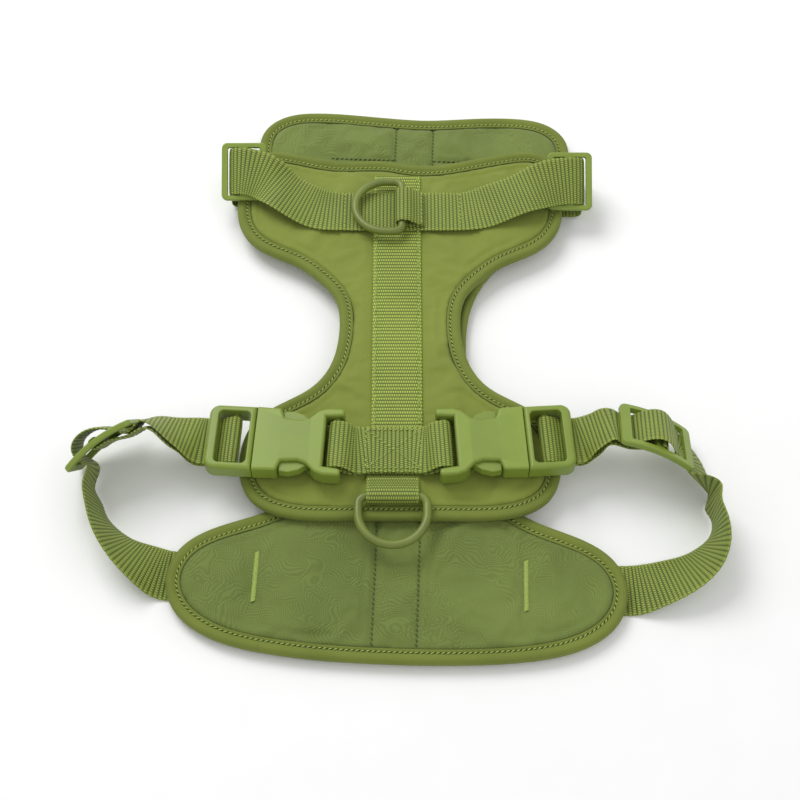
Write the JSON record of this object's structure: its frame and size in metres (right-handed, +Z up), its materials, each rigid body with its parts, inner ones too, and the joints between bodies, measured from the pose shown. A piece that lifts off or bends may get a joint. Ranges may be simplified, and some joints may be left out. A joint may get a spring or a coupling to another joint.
{
  "type": "no pull dog harness",
  "caption": "Padded dog harness lying flat: back and chest panels joined by webbing, side-release buckles, sliders and leash rings.",
  "frame": {"origin": "middle of the underside of the chest webbing, on the table plane, midway between the girth buckles' ends in x", "axes": "+Y towards the head end, +X towards the harness's right as it lies, +Z up"},
  "size_m": [0.3132, 0.3253, 0.0404],
  "materials": {
    "chest_mesh": "matt woven face fabric",
    "chest_cloth": "matt woven lining",
    "chest_binding_tape": "folded edge tape",
    "back_cloth": "matt twill",
    "back_binding_tape": "folded edge tape",
    "foam": "open-cell padding, hidden between the fabrics",
    "webbing": "ribbed nylon webbing",
    "coated_wire": "satin coat on steel wire",
    "moulded_plastic": "satin moulded acetal"
  },
  "bodies": {
    "chest_panel": {"chest_face_fabric": "chest_mesh", "chest_foam": "foam", "chest_lining": "chest_cloth", "chest_binding": "chest_binding_tape", "chest_webbing": "webbing", "left_girth_strap": "webbing", "right_girth_strap": "webbing"},
    "back_panel": {"back_lining": "back_cloth", "back_foam": "foam", "back_face_fabric": "back_cloth", "back_binding": "back_binding_tape", "spine_webbing": "webbing", "neck_strap": "webbing", "cross_strap": "webbing", "front_ring_loop": "webbing", "rear_ring_loop": "webbing", "left_buckle_socket": "moulded_plastic", "right_buckle_socket": "moulded_plastic"},
    "front_ring": {"front_leash_ring": "coated_wire"},
    "rear_ring": {"rear_leash_ring": "coated_wire"},
    "left_plug": {"left_buckle_plug": "moulded_plastic"},
    "left_front_latch": {"left_latch_front": "moulded_plastic"},
    "left_rear_latch": {"left_latch_rear": "moulded_plastic"},
    "left_girth_slider": {"left_girth_slider": "moulded_plastic"},
    "left_neck_slider": {"left_neck_slider": "moulded_plastic"},
    "right_plug": {"right_buckle_plug": "moulded_plastic"},
    "right_front_latch": {"right_latch_front": "moulded_plastic"},
    "right_rear_latch": {"right_latch_rear": "moulded_plastic"},
    "right_girth_slider": {"right_girth_slider": "moulded_plastic"},
    "right_neck_slider": {"right_neck_slider": "moulded_plastic"}
  },
  "joints": [
    {"name": "back_panel_lift", "type": "hinge", "parent": "chest_panel", "child": "back_panel", "pos_m": [0, 0.152, 0.0073], "axis": [-1, 0, 0], "range_deg": [0, 20], "deforming": ["neck_strap", "left_girth_strap", "right_girth_strap"]},
    {"name": "left_release", "type": "slide", "parent": "back_panel", "child": "left_plug", "axis": [-0.9983, 0.0576, 0], "range_m": [0, 0.032], "deforming": ["left_latch_front", "left_latch_rear"]},
    {"name": "right_release", "type": "slide", "parent": "back_panel", "child": "right_plug", "axis": [0.9983, 0.0576, 0], "range_m": [0, 0.032], "deforming": ["right_latch_front", "right_latch_rear"]},
    {"name": "left_latch_front_press", "type": "hinge", "parent": "left_plug", "child": "left_front_latch", "pos_m": [-0.06891, -0.04507, 0.0193], "axis": [0, 0, 1], "range_deg": [0, 10]},
    {"name": "left_latch_rear_press", "type": "hinge", "parent": "left_plug", "child": "left_rear_latch", "pos_m": [-0.0677, -0.0241, 0.0193], "axis": [0, 0, 1], "range_deg": [-10, 0]},
    {"name": "right_latch_front_press", "type": "hinge", "parent": "right_plug", "child": "right_front_latch", "pos_m": [0.05951, -0.04487, 0.0193], "axis": [0, 0, -1], "range_deg": [0, 10]},
    {"name": "right_latch_rear_press", "type": "hinge", "parent": "right_plug", "child": "right_rear_latch", "pos_m": [0.0583, -0.0239, 0.0193], "axis": [0, 0, -1], "range_deg": [-10, 0]},
    {"name": "left_girth_adjust", "type": "slide", "parent": "left_plug", "child": "left_girth_slider", "axis": [0.7938, 0.5268, 0.3039], "range_m": [0, 0.012]},
    {"name": "right_girth_adjust", "type": "slide", "parent": "right_plug", "child": "right_girth_slider", "axis": [-0.9164, 0.2401, 0.3202], "range_m": [0, 0.012]},
    {"name": "left_neck_adjust", "type": "slide", "parent": "back_panel", "child": "left_neck_slider", "axis": [-1, 0, 0], "range_m": [0, 0.004]},
    {"name": "right_neck_adjust", "type": "slide", "parent": "back_panel", "child": "right_neck_slider", "axis": [1, 0, 0], "range_m": [0, 0.004]},
    {"name": "front_ring_swing", "type": "hinge", "parent": "back_panel", "child": "front_ring", "pos_m": [0.001, 0.108, 0.0187], "axis": [0, 1, 0], "range_deg": [0, 150]},
    {"name": "rear_ring_swing", "type": "hinge", "parent": "back_panel", "child": "rear_ring", "pos_m": [-0.0035, -0.0623, 0.0165], "axis": [-1, 0, 0], "range_deg": [0, 150]}
  ],
  "couplings": [
    {"joint": "left_latch_rear_press", "follows": "left_latch_front_press", "ratio": -1},
    {"joint": "right_latch_rear_press", "follows": "right_latch_front_press", "ratio": -1}
  ]
}
